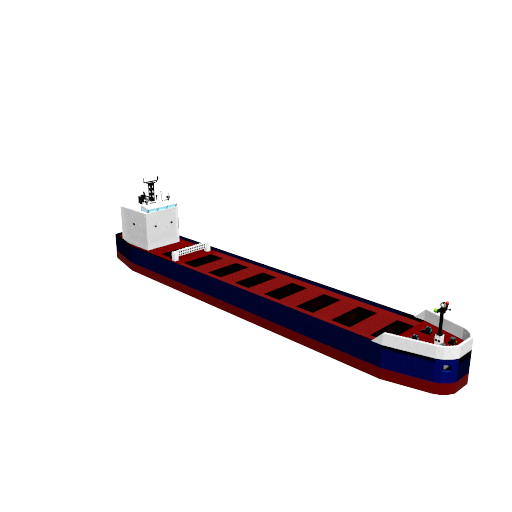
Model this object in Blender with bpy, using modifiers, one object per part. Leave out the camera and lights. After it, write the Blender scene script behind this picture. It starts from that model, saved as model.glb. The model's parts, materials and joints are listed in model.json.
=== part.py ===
"""A brick-built toy ore carrier, in metres, with +Z up, +X to the bow and +Y to port.

Every length and place below is in studs of the brick grid, measured from midships on the
centreline at the keel. STUD turns studs into metres. A brick is 1.2 studs high, a plate 0.4.
"""
from math import atan2, cos, hypot, pi, sin

import bmesh
import bpy
from mathutils import Euler, Matrix, Vector

STUD = 0.008
PLATE = 0.4
BRICK = 1.2
PLAY = 0.00015 / STUD       # each piece stops this far inside its place on the grid

# Levels above the keel
BOOT_TOP = 10 * PLATE       # where the red bottom meets the navy sides
DECK = 9 * BRICK
RAIL_TOP = 10 * BRICK       # also the level of the forecastle deck
BULWARK_TOP = RAIL_TOP + 10 * PLATE
BLOCK_TOP = DECK + 43 * PLATE
ROOF_TOP = BLOCK_TOP + 7 * PLATE

# Plan of the hull, half of it: how far from midships, and how far from the centreline
BEAM_HALF = 13
TAPER_START = 68
BOW_HALF_PLAN = [(68, 13), (84, 9), (86, 8), (88, 6), (89, 4)]
STERN_HALF_PLAN = [(-68, 13), (-88, 8), (-89, 6)]
SHELL = 1                   # thickness of the hull's sides, the bulwark and the block's walls

# Holds
HOLDS = 8
FIRST_HOLD = -52
HOLD_LENGTH = 8
HOLD_PITCH = 16
HOLD_HALF_WIDTH = 8
LINING = 1

# Accommodation block and wheelhouse
BLOCK_AFT, BLOCK_FRONT = -80, -60
BLOCK_HALF_WIDTH = 9
HOUSE_AFT, HOUSE_HALF_WIDTH = -65, 8
SCREEN_FOOT, SCREEN_HEAD = BLOCK_FRONT, BLOCK_FRONT + 1   # the windscreen leans out forward
SCREEN_TOP = BLOCK_TOP + 1.8
SCREEN_THICK = 0.25
GLASS_THICK = 0.2
MULLIONS = [-7.7, -2.55, 2.55, 7.7]
MULLION_WIDTH = 0.4
SLOPE_START = -63           # the roof falls from here to the head of the windscreen
TOP_HOUSE_AFT, TOP_HOUSE_HALF_WIDTH = -68, 5

# Mast over the bridge, funnel and aerials
MAST_X, MAST_HALF = -67.5, 1
MAST_HEAD = 39.2
LATTICE_LEVELS = [32.9, 35.15, 37.4]
YARD_HALF, YARD_TIP = 3.8, 42
FUNNEL_X = -76
FUNNEL_TOP = ROOF_TOP + 2 * PLATE
LOOP_PLACE = (-66, 4.4)
SIREN_PLACE = (-68, 3.1)
SEARCHLIGHT_X, SEARCHLIGHT_Y = -63, 6
YARD_RADIUS, YARD_TIP_RADIUS = 0.32, 0.17
BOOM_LEVEL, BOOM_LENGTH, BOOM_RADIUS = 32.3, 5.6, 0.36

# Hatch crane
CRANE_X, CRANE_LEG_Y = -40, 9
CRANE_LEG_TOP = DECK + 4
BEAM_BOTTOM, BEAM_TOP = DECK + 2, DECK + 2 + 2 * BRICK
PIN_HOLE = 0.3              # radius of the pin holes

# Forecastle
BOW_MAST_X = 80
WINCH_X, WINCH_Y, WINCH_AXIS = 74, 4, 13.4
CAPSTAN_X, CAPSTAN_Y = 83, 3
POCKET_LOW, POCKET_HIGH = 7.9, 9.95
POCKET_DEPTH = 0.7
ANCHOR_THICK = 0.3
LAMP_HEADING = -1.7

PAINTS = {
    # name: colour, roughness, metallic
    "navy": ((0.002, 0.007, 0.075), 0.3, 0.0),
    "red": ((0.262, 0.008, 0.006), 0.35, 0.0),
    "bottom_red": ((0.14, 0.004, 0.003), 0.35, 0.0),
    "white": ((0.82, 0.82, 0.82), 0.35, 0.0),
    "black": ((0.008, 0.008, 0.009), 0.35, 0.0),
    "hold": ((0.012, 0.002, 0.002), 0.7, 0.0),
    "brown": ((0.07, 0.035, 0.025), 0.4, 0.0),
    "glass": ((0.28, 0.76, 0.9), 0.1, 0.0),
    "silver": ((0.42, 0.42, 0.38), 0.35, 0.6),
    "gold": ((0.2, 0.12, 0.06), 0.3, 0.4),
    "green": ((0.22, 0.8, 0.01), 0.25, 0.0),
    "signal_red": ((0.9, 0.02, 0.01), 0.25, 0.0),
}

for old in list(bpy.data.objects):
    bpy.data.objects.remove(old)
ship = bpy.data.collections.new("ore_carrier")
cutters = bpy.data.collections.new("cutters")
bpy.context.scene.collection.children.link(ship)
bpy.context.scene.collection.children.link(cutters)


def paint(name):
    """The material of that name, made on its first use."""
    found = bpy.data.materials.get(name)
    if found:
        return found
    colour, roughness, metallic = PAINTS[name]
    made = bpy.data.materials.new(name)
    made.use_nodes = True
    shader = made.node_tree.nodes["Principled BSDF"]
    shader.inputs["Base Color"].default_value = (*colour, 1)
    shader.inputs["Roughness"].default_value = roughness
    shader.inputs["Metallic"].default_value = metallic
    return made


def put(name, data, colour, place=(0, 0, 0), turn=(0, 0, 0)):
    """Adds an object with its origin at a place in studs, turned by three angles."""
    made = bpy.data.objects.new(name, data)
    made.location = Vector(place) * STUD
    made.rotation_euler = Euler(turn)
    if colour is None:
        cutters.objects.link(made)
        made.hide_render = True
        made.display_type = "WIRE"
    else:
        ship.objects.link(made)
        data.materials.append(paint(colour))
    return made


def boxes(name, colour, corners, place=(0, 0, 0), turn=(0, 0, 0), play=PLAY):
    """One object of boxes, each from its lowest and highest corner, less the play."""
    bm = bmesh.new()
    for low, high in corners:
        low, high = Vector(low), Vector(high)
        inset = Vector((play, play, play if low.z + place[2] > 0 else 0))
        low = low + inset
        high = high - Vector((play, play, play))
        grow = Matrix.Diagonal((*((high - low) * STUD), 1))
        at = Matrix.Translation((low + high) / 2 * STUD)
        bmesh.ops.create_cube(bm, size=1, matrix=at @ grow)
    mesh = bpy.data.meshes.new(name)
    bm.to_mesh(mesh)
    bm.free()
    return put(name, mesh, colour, place, turn)


def as_mesh(curve):
    """Turns a curve object into a mesh object with its caps welded, for a Boolean."""
    bpy.context.view_layer.update()
    graph = bpy.context.evaluated_depsgraph_get()
    mesh = bpy.data.meshes.new_from_object(curve.evaluated_get(graph))
    bm = bmesh.new()
    bm.from_mesh(mesh)
    bmesh.ops.remove_doubles(bm, verts=bm.verts, dist=0.00001)
    bmesh.ops.recalc_face_normals(bm, faces=bm.faces)
    bm.to_mesh(mesh)
    bm.free()
    name = curve.name
    homes = list(curve.users_collection)
    hidden = curve.hide_render
    matrix = curve.matrix_world.copy()
    bpy.data.objects.remove(curve)
    made = bpy.data.objects.new(name, mesh)
    made.matrix_world = matrix
    for home in homes:
        home.objects.link(made)
    if hidden:
        made.hide_render = True
        made.display_type = "WIRE"
    return made


def slab(name, colour, outlines, thickness, place=(0, 0, 0), turn=(0, 0, 0)):
    """A flat outline, its holes after it, drawn in X and Y and thick by half to each side."""
    data = bpy.data.curves.new(name, "CURVE")
    data.dimensions = "2D"
    data.fill_mode = "BOTH"
    data.extrude = thickness / 2 * STUD
    for outline in outlines:
        line = data.splines.new("POLY")
        line.points.add(len(outline) - 1)
        for point, (x, y) in zip(line.points, outline):
            point.co = (x * STUD, y * STUD, 0, 1)
        line.use_cyclic_u = True
    made = put(name, data, colour, place, turn)
    return as_mesh(made) if len(outlines) > 1 else made


def cut(piece, cutter, how="DIFFERENCE"):
    """Cuts a piece with a cutter, or joins it on."""
    step = piece.modifiers.new(cutter.name, "BOOLEAN")
    step.operation = how
    step.object = cutter
    step.solver = "EXACT"


def cylinder(name, colour, radius, low, high, place=(0, 0, 0), turn=(0, 0, 0), sides=16):
    """A round piece along its own Z, from its low to its high end."""
    bm = bmesh.new()
    middle = Matrix.Translation((0, 0, (low + high) / 2 * STUD))
    bmesh.ops.create_cone(bm, cap_ends=True, segments=sides, radius1=radius * STUD,
                          radius2=radius * STUD, depth=(high - low) * STUD, matrix=middle)
    mesh = bpy.data.meshes.new(name)
    bm.to_mesh(mesh)
    bm.free()
    made = put(name, mesh, colour, place, turn)
    smooth(mesh)
    return made


def turned(name, colour, profile, place=(0, 0, 0), turn=(0, 0, 0), sides=16):
    """A turned piece: radius and height pairs down its outer side, from axis to axis."""
    mesh = bpy.data.meshes.new(name)
    points = [(radius * STUD, 0, height * STUD) for radius, height in profile]
    mesh.from_pydata(points, [(i, i + 1) for i in range(len(points) - 1)], [])
    made = put(name, mesh, colour, place, turn)
    spin = made.modifiers.new("turn", "SCREW")
    spin.steps = sides
    spin.render_steps = sides
    spin.use_merge_vertices = True
    spin.merge_threshold = 0.00001
    return made


def bar(name, colour, points):
    """A round bar through points, each with its own radius, with its ends closed."""
    data = bpy.data.curves.new(name, "CURVE")
    data.dimensions = "3D"
    data.bevel_depth = STUD
    data.bevel_resolution = 2
    data.use_fill_caps = True
    line = data.splines.new("POLY")
    line.points.add(len(points) - 1)
    for point, (at, radius) in zip(line.points, points):
        point.co = (*(Vector(at) * STUD), 1)
        point.radius = radius
    return put(name, data, colour)


def smooth(mesh):
    mesh.shade_smooth()
    mesh.set_sharp_from_angle(angle=pi / 5)


def mirrored(half):
    """A half plan with its other side, from starboard to port."""
    return [(x, -y) for x, y in half] + [(x, y) for x, y in reversed(half)]


def inset(line, depth):
    """A line of points moved sideways to its left by a depth, its corners kept."""
    sides = []
    for (ax, ay), (bx, by) in zip(line, line[1:]):
        length = hypot(bx - ax, by - ay)
        across = Vector(((ay - by) / length, (bx - ax) / length))
        sides.append((Vector((ax, ay)) + across * depth, Vector((bx - ax, by - ay)) / length))
    moved = [sides[0][0]]
    for (a, along), (b, onward) in zip(sides, sides[1:]):
        cross = along.x * onward.y - along.y * onward.x
        reach = ((b.x - a.x) * onward.y - (b.y - a.y) * onward.x) / cross
        moved.append(a + along * reach)
    moved.append(sides[-1][0] + sides[-1][1] * hypot(line[-1][0] - line[-2][0], line[-1][1] - line[-2][1]))
    return [tuple(point) for point in moved]


def rectangle(low, high, half_width):
    return [(low, -half_width), (high, -half_width), (high, half_width), (low, half_width)]


def circle(x, y, radius, sides=12):
    turns = [2 * pi * k / sides for k in range(sides)]
    return [(x + radius * cos(turn), y + radius * sin(turn)) for turn in turns]


def upright(name, colour, outline, low, high):
    """A slab that stands from a low to a high level, less the play where it meets others."""
    low = low + PLAY if low > 0 else low
    high = high - PLAY
    return slab(name, colour, outline, high - low, (0, 0, (low + high) / 2))


def hull():
    bow = mirrored(BOW_HALF_PLAN)
    stern = [(x, -y) for x, y in mirrored(STERN_HALF_PLAN)]
    upright("lower_hull", "bottom_red", [bow + stern], 0, BOOT_TOP)
    inner = BEAM_HALF - SHELL
    for side, low, high in (("starboard", -BEAM_HALF, -inner), ("port", inner, BEAM_HALF)):
        boxes("side_shell_" + side, "navy", [((-TAPER_START, low, BOOT_TOP), (TAPER_START, high, RAIL_TOP))])
    nose = shell("bow_shell", bow, BOOT_TOP, RAIL_TOP, "navy", 1)
    tail = as_mesh(shell("stern_shell", stern, BOOT_TOP, RAIL_TOP, "navy", -1))
    wide = BLOCK_HALF_WIDTH + PLAY
    cut(tail, boxes("block_place_cutter", None,
                    [((BLOCK_AFT - PLAY, -wide, DECK), (BLOCK_FRONT, wide, BLOCK_TOP))], play=0))
    anchors(as_mesh(nose))


def shell(name, plan, low, high, colour, sign):
    """A U-shaped wall one shell thick around an end of the hull, clear of the straight sides."""
    start = sign * (TAPER_START + PLAY)
    outer = [(start, plan[0][1])] + plan[1:-1] + [(start, plan[-1][1])]
    inner = inset(plan, SHELL)
    inner = [(start, inner[0][1])] + inner[1:-1] + [(start, inner[-1][1])]
    return upright(name, colour, [outer + inner[::-1]], low, high)


def anchors(nose):
    """The pocket on the 45 degree facet of each bow, and the anchor before it on its stem."""
    x, y, half_width = 87, 7, 1.3
    middle = (POCKET_LOW + POCKET_HIGH) / 2
    rise = (POCKET_HIGH - POCKET_LOW) / 2
    plan = [(0.05, 1.27), (-0.25, 1), (-0.2, 0.8), (0.15, 0.72), (0.2, 0.45),
            (0.62, 0.38), (0.66, 0.12), (1.08, 0.12), (1.08, 1), (0.85, 1.27)]
    for side, sign in (("starboard", -1), ("port", 1)):
        facing = Euler((0, 0, sign * pi / 4)).to_matrix()
        pocket = boxes("pocket_cutter_" + side, None,
                       [((-POCKET_DEPTH, -half_width, -rise), (1, half_width, rise))],
                       (x, sign * y, middle), (0, 0, sign * pi / 4), play=0)
        cut(nose, pocket)
        lying = facing @ Euler((pi / 2, 0, pi / 2)).to_matrix()
        at = Vector((x, sign * y, middle)) + facing @ Vector((ANCHOR_THICK / 2 + 2 * PLAY, 0, 0))
        outline = [(sign * along, up) for along, up in plan]
        anchor = as_mesh(slab("anchor_" + side, "silver", [outline], ANCHOR_THICK, at, lying.to_euler()))
        stem = boxes("anchor_stem_cutter_" + side, None,
                     [((2 * PLAY - POCKET_DEPTH, sign * 0.55 - 0.2, 0.5), (0.15, sign * 0.55 + 0.2, 0.85))],
                     (x, sign * y, middle), (0, 0, sign * pi / 4), play=0)
        cut(anchor, stem, "UNION")


def decks():
    """The deck of plates with the open hatches in it, the hold walls under it, the forecastle."""
    inner = BEAM_HALF - SHELL
    low = DECK - PLATE
    hatches = []
    for number in range(HOLDS):
        aft = FIRST_HOLD + HOLD_PITCH * number
        hatches.append(rectangle(aft, aft + HOLD_LENGTH, HOLD_HALF_WIDTH))
    side = inner - 2 * PLAY
    stern = inset([(x, -y) for x, y in mirrored(STERN_HALF_PLAN)], SHELL + 2 * PLAY)[1:-1]
    start = TAPER_START - PLAY
    rim = [(start, side), (-TAPER_START, side)] + stern + [(-TAPER_START, -side), (start, -side)]
    last = [(start, y) if x > start else (x, y) for x, y in hatches[-1]]
    notch = [last[1], last[0], last[3], last[2]]
    upright("main_deck", "red", [rim + notch] + hatches[:-1], low, DECK)

    end = FIRST_HOLD + HOLD_PITCH * (HOLDS - 1) + HOLD_LENGTH + LINING
    wide = HOLD_HALF_WIDTH + LINING
    rim = [(FIRST_HOLD - LINING, -wide), (end, -wide), (end, wide), (FIRST_HOLD - LINING, wide)]
    upright("hold_walls", "hold", [rim] + hatches, BOOT_TOP, low)

    bow = inset(mirrored(BOW_HALF_PLAN), SHELL + 2 * PLAY)[1:-1]
    start = TAPER_START + PLAY
    upright("forecastle_deck", "red", [[(start, -side)] + bow + [(start, side)]], low, RAIL_TOP)


def bulwark():
    """The white bulwark around the bow, cut back at 45 degrees at its after ends."""
    run = BULWARK_TOP - RAIL_TOP
    start = TAPER_START - run
    plan = [(start, -BEAM_HALF)] + mirrored(BOW_HALF_PLAN) + [(start, BEAM_HALF)]
    inner = inset(plan, SHELL)
    low, high = RAIL_TOP, BULWARK_TOP
    wall = upright("bulwark", "white", [plan + inner[::-1]], low, high)
    wall = as_mesh(wall)
    corner = [(start - 1, -1), (start - 1, run + 1), (start + run + 1, run + 1)]
    wedge = slab("bulwark_cutter", None, [corner], 2 * BEAM_HALF + 2, (0, 0, RAIL_TOP), (pi / 2, 0, 0))
    cut(wall, as_mesh(wedge))


def block():
    """The accommodation block: its four bare walls and the deck on top of them."""
    wide = BLOCK_HALF_WIDTH
    rim = rectangle(BLOCK_AFT, BLOCK_FRONT, wide)
    hollow = rectangle(BLOCK_AFT + SHELL, BLOCK_FRONT - SHELL, wide - SHELL)
    upright("block_walls", "white", [rim, hollow], DECK, BLOCK_TOP - PLATE)
    upright("block_deck", "white", [rim], BLOCK_TOP - PLATE, BLOCK_TOP)


def wheelhouse():
    lean = atan2(SCREEN_HEAD - SCREEN_FOOT, SCREEN_TOP - BLOCK_TOP)
    tall = hypot(SCREEN_HEAD - SCREEN_FOOT, SCREEN_TOP - BLOCK_TOP) - SCREEN_THICK * sin(lean)
    wide = HOUSE_HALF_WIDTH
    sill, head = 0.12, tall - 0.13
    foot = PLAY / cos(lean)
    rim = [(-wide, foot), (wide, foot), (wide, tall - PLAY), (-wide, tall - PLAY)]
    panes = []
    for left, right in zip(MULLIONS, MULLIONS[1:]):
        panes.append((left + MULLION_WIDTH / 2, right - MULLION_WIDTH / 2))
    holes = [[(a, sill + foot), (b, sill + foot), (b, head), (a, head)] for a, b in panes]
    # the windscreen is drawn standing, with its width in X and its height in Y
    stand = (pi / 2 + lean, 0, pi / 2)
    middle = -SCREEN_THICK / 2
    place = (SCREEN_FOOT + middle * cos(lean), 0, BLOCK_TOP - middle * sin(lean))
    slab("windscreen_frame", "brown", [rim] + holes, SCREEN_THICK, place, stand)
    edge = 2 * PLAY
    behind = SCREEN_THICK + edge + GLASS_THICK / 2
    sheet = (SCREEN_FOOT - behind * cos(lean), 0, BLOCK_TOP + behind * sin(lean))
    reach, low, high = wide - 0.6, foot + 0.05, head + 0.03
    glazing = [(-reach, low), (reach, low), (reach, high), (-reach, high)]
    slab("windscreen_glass", "glass", [glazing], GLASS_THICK, sheet, stand)

    # side walls follow the leaning screen and the falling roof
    back = HOUSE_AFT
    clear = 2 * PLAY
    under = SCREEN_THICK / cos(lean) + clear
    rise = (SCREEN_HEAD - SCREEN_FOOT) / (SCREEN_TOP - BLOCK_TOP)
    low = BLOCK_TOP + PLAY
    roof_low = ROOF_TOP - PLATE - PLAY
    fall = (roof_low - (SCREEN_TOP - PLAY)) / (SCREEN_HEAD - SLOPE_START)
    front_top = SCREEN_TOP - 0.2
    front = SCREEN_FOOT - under + rise * (front_top - BLOCK_TOP)
    side = [(back, low), (SCREEN_FOOT - under, low), (front, front_top),
            (SLOPE_START, roof_low), (back, roof_low)]
    pane_aft, pane_fore = back + 0.5, SCREEN_FOOT - under - 0.25
    rising = pane_fore + 0.7
    window = [(pane_aft, BLOCK_TOP + 0.2), (pane_fore, BLOCK_TOP + 0.2),
              (rising, BLOCK_TOP + 1.7), (pane_aft, BLOCK_TOP + 1.9)]
    pane = [(pane_aft + edge, BLOCK_TOP + 0.2 + edge), (pane_fore - edge, BLOCK_TOP + 0.2 + edge),
            (rising - 2 * edge, BLOCK_TOP + 1.7 - edge), (pane_aft + edge, BLOCK_TOP + 1.9 - 2 * edge)]
    thick = 0.5
    for name, sign in (("starboard", -1), ("port", 1)):
        middle = (0, sign * (wide - thick / 2 - PLAY), 0)
        slab("wheelhouse_side_" + name, "brown", [side, window], thick, middle, (pi / 2, 0, 0))
        slab("side_window_" + name, "glass", [pane], GLASS_THICK, middle, (pi / 2, 0, 0))
    inner = wide - thick - 2 * PLAY
    boxes("wheelhouse_back", "white", [((back, -inner, BLOCK_TOP), (back + thick, inner, roof_low + PLAY))])

    # the roof is drawn from the side and runs from wing to wing
    lip = 0.08
    roof = [(back, ROOF_TOP), (SLOPE_START, ROOF_TOP), (SCREEN_HEAD, SCREEN_TOP + lip),
            (SCREEN_HEAD, SCREEN_TOP), (SLOPE_START, ROOF_TOP - PLATE), (back, ROOF_TOP - PLATE)]
    slab("wheelhouse_roof", "white", [roof], 2 * wide, (0, 0, 0), (pi / 2, 0, 0))
    boxes("top_house", "white", [((TOP_HOUSE_AFT, -TOP_HOUSE_HALF_WIDTH, BLOCK_TOP),
                                  (HOUSE_AFT, TOP_HOUSE_HALF_WIDTH, ROOF_TOP))])


def funnel():
    """The funnel, the walkway from it to the mast, and the boom over it with its post and whip."""
    boxes("funnel", "black", [((FUNNEL_X - 1, -1, BLOCK_TOP), (FUNNEL_X + 1, 1, FUNNEL_TOP))])
    fore = MAST_X - MAST_HALF
    boxes("mast_walk", "black", [((FUNNEL_X + 1, -1, ROOF_TOP), (MAST_X + MAST_HALF, 1, ROOF_TOP + PLATE))])
    boom = cylinder("mast_boom", "black", BOOM_RADIUS, -BOOM_LENGTH, -PLAY, (fore, 0, BOOM_LEVEL),
                    (0, pi / 2, 0), sides=8)
    whip = cylinder("whip_cutter", None, 0.42, 0, 2.1, (fore - 4.3, 0, BOOM_LEVEL), (0, -0.5, 0), sides=8)
    cut(boom, whip, "UNION")
    low, high = (FUNNEL_X + 1, -1, ROOF_TOP + PLATE), (FUNNEL_X + 2.5, 1, BOOM_LEVEL + 0.3)
    cut(boom, boxes("boom_post_cutter", None, [(low, high)]), "UNION")


def lattice_mast():
    """A square lattice tube with oval openings in each face, its head, yard and aerials."""
    low, high = ROOF_TOP + PLATE, MAST_HEAD
    wall = 0.35
    outer = MAST_HALF - PLAY
    inner = outer - wall
    square = [(-1, -1), (1, -1), (1, 1), (-1, 1)]
    tube = slab("lattice_mast", "black",
                [[(MAST_X + outer * x, outer * y) for x, y in square],
                 [(MAST_X + inner * x, inner * y) for x, y in square]],
                high - low - 2 * PLAY, (0, 0, (low + high) / 2))
    tube = as_mesh(tube)
    ovals = []
    for middle in LATTICE_LEVELS:
        ovals.append([(0.6 * x, middle + 0.75 * y) for x, y in circle(0, 0, 1, 8)])
    across = slab("mast_cutter_across", None, ovals, 4, (MAST_X, 0, 0), (pi / 2, 0, 0))
    along = slab("mast_cutter_along", None, ovals, 4, (MAST_X, 0, 0), (pi / 2, 0, pi / 2))
    cut(tube, as_mesh(across))
    cut(tube, as_mesh(along))

    head = boxes("mast_head_cutter", None, [((-1, -2, -0.1), (1, 2, PLATE))], (MAST_X, 0, high))
    cut(tube, head, "UNION")
    base = high + PLATE + PLAY + YARD_RADIUS
    points = []
    for y, level in ((-YARD_HALF, YARD_TIP), (-YARD_HALF, base), (YARD_HALF, base), (YARD_HALF, YARD_TIP)):
        points.append(((MAST_X, y, level), YARD_RADIUS if level == base else YARD_TIP_RADIUS))
    bar("signal_yard", "black", points)
    turned("siren", "black", [(0, 2.2), (0.35, 2.2), (0.45, 1.6), (0.2, 0.9), (0.3, PLAY), (0, PLAY)],
           (*SIREN_PLACE, ROOF_TOP), sides=12)


def aerial_loop():
    """The white direction-finding loop on its post, which turns on its own axis."""
    x, y = LOOP_PLACE
    ring, stem = 0.72, 0.2
    middle = ROOF_TOP + 3.4
    post = cylinder("loop_antenna", "white", stem, PLAY, 2.85 - PLAY, (x, y, ROOF_TOP))
    loop = bpy.data.meshes.new("loop_ring")
    bm = bmesh.new()
    sections, sides = 16, 6
    rings = []
    for k in range(sections):
        turn = 2 * pi * k / sections
        ringed = []
        for j in range(sides):
            roll = 2 * pi * j / sides
            radius = (ring + 0.17 * cos(roll)) * STUD
            ringed.append(bm.verts.new((radius * cos(turn), 0.17 * STUD * sin(roll), radius * sin(turn))))
        rings.append(ringed)
    for k in range(sections):
        for j in range(sides):
            bm.faces.new((rings[k][j], rings[k][(j + 1) % sides],
                          rings[(k + 1) % sections][(j + 1) % sides], rings[(k + 1) % sections][j]))
    bmesh.ops.recalc_face_normals(bm, faces=bm.faces)
    bm.to_mesh(loop)
    bm.free()
    joined = put("loop_ring_cutter", loop, None, (x, y, middle))
    cut(post, joined, "UNION")


def searchlights():
    """Two searchlights on the wheelhouse roof, each on a short post, facing forward."""
    for side, sign in (("starboard", -1), ("port", 1)):
        place = (SEARCHLIGHT_X, sign * SEARCHLIGHT_Y, ROOF_TOP)
        post = cylinder("searchlight_" + side, "black", 0.3, PLAY, 1.0, place, sides=12)
        drum = cylinder("searchlight_cutter_" + side, None, 0.7, -0.7, 0.45,
                        (place[0], place[1], ROOF_TOP + 1.55), (0, pi / 2, 0), sides=16)
        cut(post, drum, "UNION")
        turned("searchlight_lens_" + side, "gold",
               [(0, 0.3), (0.35, 0.24), (0.62, 0), (0, 0)],
               (place[0] + 0.45 + 2 * PLAY, place[1], ROOF_TOP + 1.55), (0, pi / 2, 0))


def crane():
    """The hatch crane: two square legs at the holds' sides and a girder one stud wide with pin holes."""
    for side, sign in (("starboard", -1), ("port", 1)):
        boxes("crane_leg_" + side, "white", [((-1, -1, DECK), (1, 1, CRANE_LEG_TOP))],
              (CRANE_X, sign * CRANE_LEG_Y, 0))
    reach = CRANE_LEG_Y - 1 - PLAY
    low, high = BEAM_BOTTOM, BEAM_TOP
    holes = []
    for row in range(2):
        level = low + 0.6 + BRICK * row
        for k in range(2 * (CRANE_LEG_Y - 1) - 1):
            holes.append(circle(k + 1 - (CRANE_LEG_Y - 1), level, PIN_HOLE, 8))
    rim = [(-reach, low), (reach, low), (reach, high), (-reach, high)]
    slab("crane_beam", "white", [rim] + holes, 1 - 2 * PLAY, (CRANE_X, 0, 0), (pi / 2, 0, pi / 2))


def bow_mast():
    """Base with pin holes, round pole, crosshead with the side lights, and the turning lamp."""
    low, high = RAIL_TOP + PLAY, RAIL_TOP + 8 * PLATE - PLAY
    x = BOW_MAST_X
    rim = [(x - 1, low), (x + 1, low), (x + 1, high), (x - 1, high)]
    holes = [circle(x - 0.5, low + 1.5, PIN_HOLE, 8), circle(x + 0.5, low + 1.5, PIN_HOLE, 8)]
    slab("bow_mast_base", "white", [rim] + holes, 2, (0, 0, 0), (pi / 2, 0, 0))
    foot = high + 2 * PLAY
    pole_top = 22.65
    turned("bow_mast", "black",
           [(0, pole_top), (0.57, pole_top), (0.57, foot + PLATE), (1, foot + PLATE), (1, foot), (0, foot)],
           (x, 0, 0))
    head_top = 24
    head = cylinder("bow_crosshead", "black", 0.98, pole_top + 2 * PLAY, head_top, (x, 0.15, 0), sides=12)
    light_level = head_top + 0.1
    cut(head, boxes("arm_cutter", None, [((-0.4, -1.8, -0.5), (0.2, 1.8, -0.1))], (x, 0, head_top)), "UNION")
    bracket = boxes("horn_bracket_cutter", None, [((-0.3, 0.6, -1.3), (0.4, 2.6, -0.15))], (x, 0, head_top))
    cut(head, bracket, "UNION")
    horn_place = (x + 0.3, 1.9, head_top - 0.55)
    cut(head, cylinder("horn_cutter", None, 0.16, 0, 1.2, horn_place, (0, pi / 2, 0), sides=8), "UNION")
    bell = cylinder("horn_bell_cutter", None, 0.32, 1.05, 1.4, horn_place, (0, pi / 2, 0), sides=8)
    cut(head, bell, "UNION")
    for name, colour, sign in (("light_starboard", "green", -1), ("light_port", "signal_red", 1)):
        turned(name, colour, [(0, 1.05), (0.3, 0.97), (0.5, 0.7), (0.5, 0.15), (0.42, 0), (0, 0)],
               (x - 0.4, sign * 3.6, light_level), sides=12)
        arm = boxes(name + "_arm_cutter", None, [((-0.4, -0.75, -0.5), (0.2, 0.75, 0.4))],
                    (x, sign * 2.35, head_top))
        cut(head, arm, "UNION")
        rest = boxes(name + "_cutter", None, [((-0.75, -0.5, -0.2), (-0.05, 0.5, -2 * PLAY))],
                     (x, sign * 3.5, light_level), play=0)
        cut(head, rest, "UNION")
    lamp_place = (x, 0.15, head_top)
    lamp_level = head_top + 1.1
    post = cylinder("bow_lamp", "black", 0.35, 2 * PLAY, 0.5, lamp_place, sides=12)
    housing = cylinder("bow_lamp_cutter", None, 0.88, -0.6, 0.3, (x, lamp_place[1], lamp_level),
                       (0, pi / 2, LAMP_HEADING), sides=16)
    cut(post, housing, "UNION")
    out = 0.3 + 2 * PLAY
    turned("bow_lamp_face", "white", [(0, 0.16), (0.35, 0.12), (0.56, 0), (0, 0)],
           (x + out * cos(LAMP_HEADING), lamp_place[1] + out * sin(LAMP_HEADING), lamp_level),
           (0, pi / 2, LAMP_HEADING))


def winches():
    """Two mooring winches: a fork with a tail that slopes and narrows aft, and a wheel in the fork."""
    cheek = [(1.1, 0), (1.1, 0.4), (0.4, 1.7), (-0.4, 1.7), (-1.2, 1.2), (-1.2, 0)]
    tail = [(-1.15, 0), (-1.15, 1.25), (-2.7, 0.3), (-2.7, 0)]
    narrowing = atan2(-1.25, -1.55)
    for side, sign in (("starboard", -1), ("port", 1)):
        place = (WINCH_X, sign * WINCH_Y, RAIL_TOP)
        level = RAIL_TOP + PLAY
        bed = as_mesh(slab("winch_bed_" + side, "black", [tail], 1.46,
                           (WINCH_X, place[1], level), (pi / 2, 0, 0)))
        cut(bed, boxes("tail_cutter", None, [((-1, -3, -1), (4, 0, 3))],
                       (WINCH_X - 1.15, place[1] + 0.75, level), (0, 0, narrowing), play=0))
        for end in (-0.65, 0.65):
            plate = slab("cheek_cutter", None, [cheek], 0.2, (WINCH_X, place[1] + end, level), (pi / 2, 0, 0))
            cut(bed, as_mesh(plate), "UNION")
        ends, rim, barrel, flange = 0.48, 0.9, 0.5, 0.25
        turned("winch_drum_" + side, "black",
               [(0, ends), (rim, ends), (rim, ends - flange), (barrel, ends - flange),
                (barrel, flange - ends), (rim, flange - ends), (rim, -ends), (0, -ends)],
               (WINCH_X, place[1], WINCH_AXIS), (pi / 2, 0, 0))


def capstans():
    """Two capstans forward: a square seat and a round drum that turns on it."""
    low = 2 * PLATE + 2 * PLAY
    for side, sign in (("starboard", -1), ("port", 1)):
        place = (CAPSTAN_X, sign * CAPSTAN_Y, RAIL_TOP)
        boxes("capstan_seat_" + side, "black", [((-1, -1, 0), (1, 1, 2 * PLATE))], place)
        turned("capstan_drum_" + side, "black",
               [(0, 2.05), (0.84, 2.05), (0.84, 1.75), (0.74, 1.6),
                (0.74, 1.2), (0.84, 1), (0.84, low), (0, low)], place)


hull()
decks()
bulwark()
block()
wheelhouse()
funnel()
lattice_mast()
aerial_loop()
searchlights()
crane()
bow_mast()
winches()
capstans()
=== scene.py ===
"""The looks of a brick-built toy ore carrier: plastics, studs, small fittings, light and camera."""
import json
from math import cos, pi, radians, sin

import bmesh
import bpy
from mathutils import Euler, Matrix, Vector


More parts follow.
